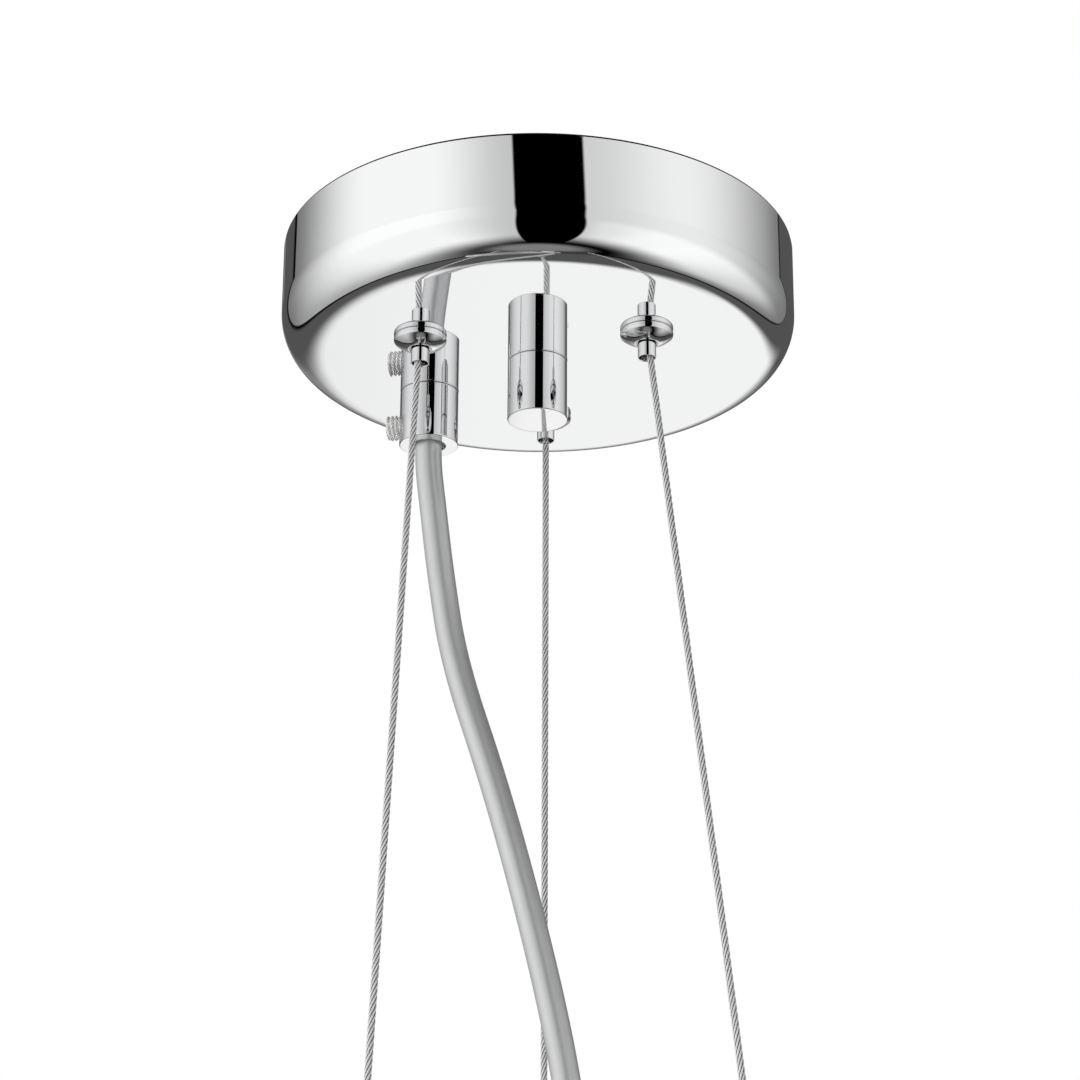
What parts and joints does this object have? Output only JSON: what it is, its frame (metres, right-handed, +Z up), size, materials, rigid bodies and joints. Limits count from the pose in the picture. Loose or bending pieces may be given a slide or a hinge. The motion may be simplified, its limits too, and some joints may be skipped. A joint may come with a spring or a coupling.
{
  "type": "chandelier ceiling canopy and suspension set",
  "caption": "Round polished ceiling canopy with wire grippers, leaning suspension wires and a clamped power cord that ends in a tied coil.",
  "frame": {"origin": "centre of the ceiling strap's slots, on the ceiling plane", "axes": "+Z up into the ceiling, +X along the strap, +Y away from the viewer towards the far wire"},
  "size_m": [0.1263, 0.12, 0.311],
  "materials": {
    "chrome": "mirror polished chrome plate",
    "zinc": "zinc plated steel",
    "wire": "stranded steel wire rope",
    "steel": "bright steel",
    "brass": "plain brass",
    "nylon": "translucent natural nylon",
    "cord": "satin silver-grey jacket",
    "connector": "white moulded plastic",
    "brown": "brown insulation",
    "blue": "blue insulation",
    "earth_green": "green and yellow insulation"
  },
  "bodies": {
    "ceiling_bracket": {"mounting_bracket": "zinc", "centre_stud": "zinc", "stud_lock_nut": "zinc"},
    "canopy": {"canopy_shell": "chrome", "gripper_lock_nuts": "zinc", "wire_stops": "zinc", "cord_grip_body": "chrome", "cord_grip_liner": "nylon", "cord_grip_lock_nut": "zinc", "cord_jacket_inner": "cord", "power_cord": "cord", "power_cord_coil": "cord", "cord_tie": "nylon", "cord_connector": "connector", "terminal_block": "connector", "terminal_contacts": "brass", "terminal_screws": "zinc", "weld_studs": "zinc", "weld_stud_nuts": "zinc", "earth_ring": "brass", "lead_live": "brown", "lead_neutral": "blue", "lead_earth": "earth_green", "gripper_body_far": "chrome", "gripper_cap_far": "steel", "gripper_spring_far": "steel", "wire_tail_far": "wire", "gripper_body_left": "chrome", "gripper_cap_left": "steel", "gripper_spring_left": "steel", "wire_tail_left": "wire", "gripper_body_right": "chrome", "gripper_cap_right": "steel", "gripper_spring_right": "steel", "wire_tail_right": "wire"},
    "retaining_nut": {"retaining_nut": "chrome"},
    "nut_set_screw": {"nut_set_screw": "steel"},
    "cord_clamp_screw": {"cord_clamp_screw": "nylon"},
    "plunger_far": {"gripper_plunger_far": "chrome", "gripper_balls_far": "steel"},
    "wire_far": {"suspension_wire_far": "wire", "wire_end_far": "steel"},
    "plunger_left": {"gripper_plunger_left": "chrome", "gripper_balls_left": "steel"},
    "wire_left": {"suspension_wire_left": "wire", "wire_end_left": "steel"},
    "plunger_right": {"gripper_plunger_right": "chrome", "gripper_balls_right": "steel"},
    "wire_right": {"suspension_wire_right": "wire", "wire_end_right": "steel"}
  },
  "joints": [
    {"name": "canopy_drop", "type": "slide", "parent": "ceiling_bracket", "child": "canopy", "axis": [0, 0, -1], "range_m": [0, 0.01]},
    {"name": "nut_turn", "type": "hinge", "parent": "canopy", "child": "retaining_nut", "pos_m": [0, 0, -0.0274], "axis": [0, 0, -1], "range_deg": [0, 2880.01]},
    {"name": "nut_screw_turn", "type": "hinge", "parent": "retaining_nut", "child": "nut_set_screw", "pos_m": [0.0046, 0.00386, -0.0389], "axis": [0.766, 0.6428, 0], "range_deg": [0, 720]},
    {"name": "clamp_screw_turn", "type": "hinge", "parent": "canopy", "child": "cord_clamp_screw", "pos_m": [-0.03378, 0.01647, -0.0359], "axis": [-0.9903, 0.1392, 0], "range_deg": [0, 1080]},
    {"name": "plunger_press_far", "type": "slide", "parent": "canopy", "child": "plunger_far", "axis": [0, 0, 1], "range_m": [0, 0.002], "stiffness_N_per_m": 300, "deforming": ["gripper_spring_far"]},
    {"name": "wire_swing_far", "type": "hinge", "parent": "canopy", "child": "wire_far", "pos_m": [-0.00003, 0.0307, -0.0331], "axis": [0.9988, 0.0495, 0], "range_deg": [-4.5, 10]},
    {"name": "plunger_press_left", "type": "slide", "parent": "canopy", "child": "plunger_left", "axis": [0, 0, 1], "range_m": [0, 0.002], "stiffness_N_per_m": 300, "deforming": ["gripper_spring_left"]},
    {"name": "wire_swing_left", "type": "hinge", "parent": "canopy", "child": "wire_left", "pos_m": [-0.02633, -0.01561, -0.0331], "axis": [-0.8645, 0.5027, 0], "range_deg": [-4, 10]},
    {"name": "plunger_press_right", "type": "slide", "parent": "canopy", "child": "plunger_right", "axis": [0, 0, 1], "range_m": [0, 0.002], "stiffness_N_per_m": 300, "deforming": ["gripper_spring_right"]},
    {"name": "wire_swing_right", "type": "hinge", "parent": "canopy", "child": "wire_right", "pos_m": [0.02667, -0.01512, -0.0331], "axis": [-0.1762, -0.9843, 0], "range_deg": [-6, 10]}
  ],
  "couplings": [
    {"joint": "nut_turn", "follows": "canopy_drop", "rad_per_m": 5026.5}
  ]
}
